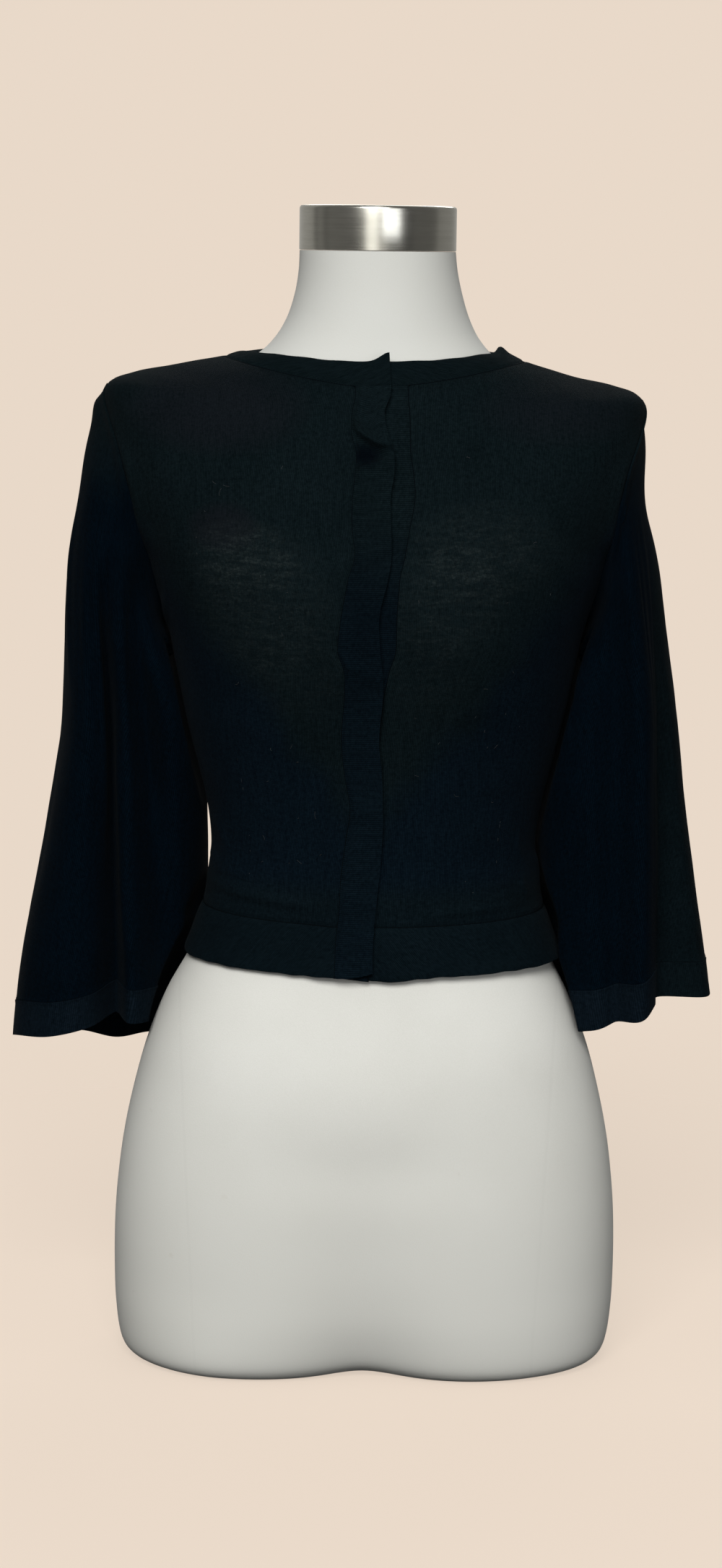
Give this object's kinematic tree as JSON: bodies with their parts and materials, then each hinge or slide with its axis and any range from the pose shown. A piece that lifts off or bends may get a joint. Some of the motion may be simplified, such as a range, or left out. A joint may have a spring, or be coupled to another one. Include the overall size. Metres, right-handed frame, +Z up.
{
  "type": "cropped cardigan on a limbless dress form",
  "caption": "Cropped black fine-knit cardigan with a crew neck, a lapped front and bell sleeves, worn by a white limbless dress form with a steel neck cap that stands on its flat underside.",
  "frame": {"origin": "middle of the form's flat underside", "axes": "+Z up, -Y out of the wearer's front, +X towards the wearer's left side"},
  "size_m": [0.4767, 0.2426, 0.7808],
  "materials": {
    "knit": "matt black fine-gauge jersey knit",
    "rib": "matt black rib knit",
    "jersey": "white stretched jersey cover",
    "steel": "brushed round the rim"
  },
  "bodies": {
    "root": {"right_front": "knit", "left_front": "knit", "back": "knit", "right_sleeve": "knit", "left_sleeve": "knit", "right_cuff": "rib", "left_cuff": "rib", "neckband": "rib", "overlap_band": "rib", "underlap_band": "rib", "bottom_band": "rib", "dress_form": "jersey", "neck_cap": "steel"}
  },
  "joints": []
}
